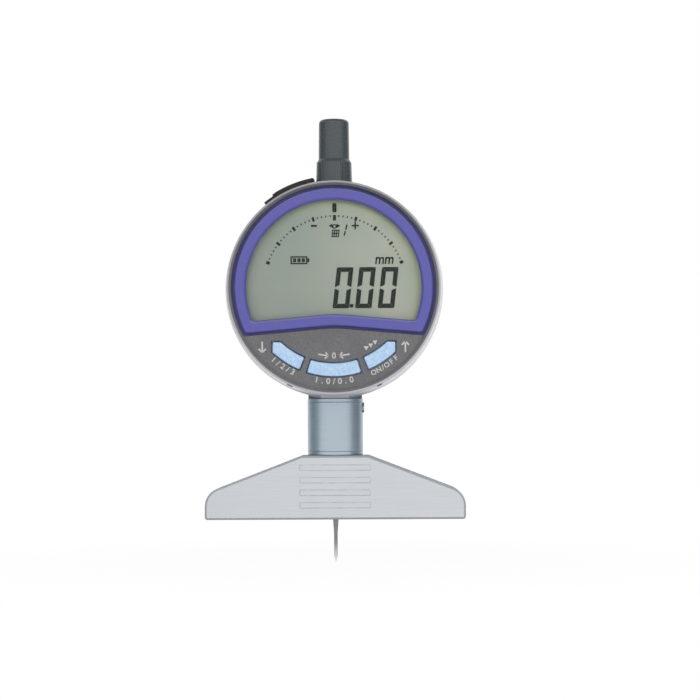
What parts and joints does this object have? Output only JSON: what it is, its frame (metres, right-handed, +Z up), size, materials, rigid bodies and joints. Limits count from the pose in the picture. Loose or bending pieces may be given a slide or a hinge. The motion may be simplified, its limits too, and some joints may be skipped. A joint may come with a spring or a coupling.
{
  "type": "depth gauge",
  "caption": "Digital depth gauge: a round indicator with a turning display head and sliding needle point, clamped in a sleeve on a ground bridge base.",
  "frame": {"origin": "centre of the base's measuring face, on the spindle's axis", "axes": "+Z up along the spindle from the measuring face to the dust cap, -Y towards the display's reader, +X to the reader's right"},
  "size_m": [0.075, 0.0252, 0.1286],
  "materials": {
    "base_steel": "ground",
    "sleeve_steel": "turned",
    "screw_steel": "plated",
    "inner_steel": "ground",
    "needle_steel": "ground",
    "brass": "turned",
    "body_silver": "satin",
    "head_grey": "fine texture",
    "frame_violet": "satin",
    "window_clear": "polished",
    "lcd_green": "satin",
    "white_plastic": "moulded",
    "button_blue": "satin",
    "board_green": "lacquered",
    "chip_black": "moulded",
    "cap_black": "moulded",
    "lid_rubber": "moulded",
    "seal_rubber": "moulded",
    "cell_steel": "pressed",
    "contact_gold": "plated"
  },
  "bodies": {
    "instrument": {"depth_base": "base_steel", "stem_sleeve": "sleeve_steel", "clamp_screw": "screw_steel", "clamp_pad": "brass", "stem": "inner_steel", "lower_bush": "brass", "upper_bush": "brass", "bumper_ring": "seal_rubber", "return_spring": "inner_steel", "rear_body": "body_silver", "friction_ring": "seal_rubber", "rear_cover": "body_silver", "rear_cover_screws": "screw_steel", "cover_gasket": "seal_rubber", "battery_holder": "white_plastic", "battery_contact": "contact_gold", "coin_cell": "cell_steel", "battery_cover": "cap_black", "battery_seal": "seal_rubber", "guide_plate": "inner_steel", "guide_plate_screws": "screw_steel", "sensor_board": "board_green", "sensor_board_screws": "screw_steel", "sensor_chip": "chip_black", "data_connector": "cap_black", "data_contacts": "contact_gold", "port_hinge_pin": "screw_steel", "dust_cap": "cap_black"},
    "spindle": {"spindle": "inner_steel", "needle_point": "needle_steel", "stop_collar": "brass", "scale_carrier": "white_plastic", "scale_strip": "board_green", "anti_rotation_pin": "inner_steel"},
    "display_head": {"head_housing": "head_grey", "head_screws": "screw_steel", "display_frame": "frame_violet", "display_window": "window_clear", "lcd_panel": "lcd_green", "lcd_holder": "white_plastic", "lcd_connector": "seal_rubber", "display_board": "board_green", "display_board_screws": "screw_steel", "display_chip": "chip_black", "button_switches": "chip_black"},
    "left_button": {"left_button": "button_blue"},
    "centre_button": {"centre_button": "button_blue"},
    "right_button": {"right_button": "button_blue"},
    "data_port_cover": {"data_port_cover": "lid_rubber"}
  },
  "joints": [
    {"name": "spindle_slide", "type": "slide", "parent": "instrument", "child": "spindle", "axis": [0, 0, 1], "range_m": [0, 0.0133], "stiffness_N_per_m": 42, "springref_m": -0.021, "deforming": ["return_spring"]},
    {"name": "head_turn", "type": "hinge", "parent": "instrument", "child": "display_head", "pos_m": [0, -0.0085, 0.0663], "axis": [0, 1, 0], "range_deg": [-135, 135]},
    {"name": "left_button_press", "type": "slide", "parent": "display_head", "child": "left_button", "axis": [0, 1, 0], "range_m": [0, 0.0004], "stiffness_N_per_m": 1500, "springref_m": -0.0008},
    {"name": "centre_button_press", "type": "slide", "parent": "display_head", "child": "centre_button", "axis": [0, 1, 0], "range_m": [0, 0.0004], "stiffness_N_per_m": 1500, "springref_m": -0.0008},
    {"name": "right_button_press", "type": "slide", "parent": "display_head", "child": "right_button", "axis": [0, 1, 0], "range_m": [0, 0.0004], "stiffness_N_per_m": 1500, "springref_m": -0.0008},
    {"name": "port_cover_hinge", "type": "hinge", "parent": "instrument", "child": "data_port_cover", "pos_m": [-0.00628, 0, 0.09793], "axis": [0, 1, 0], "range_deg": [0, 75]}
  ]
}
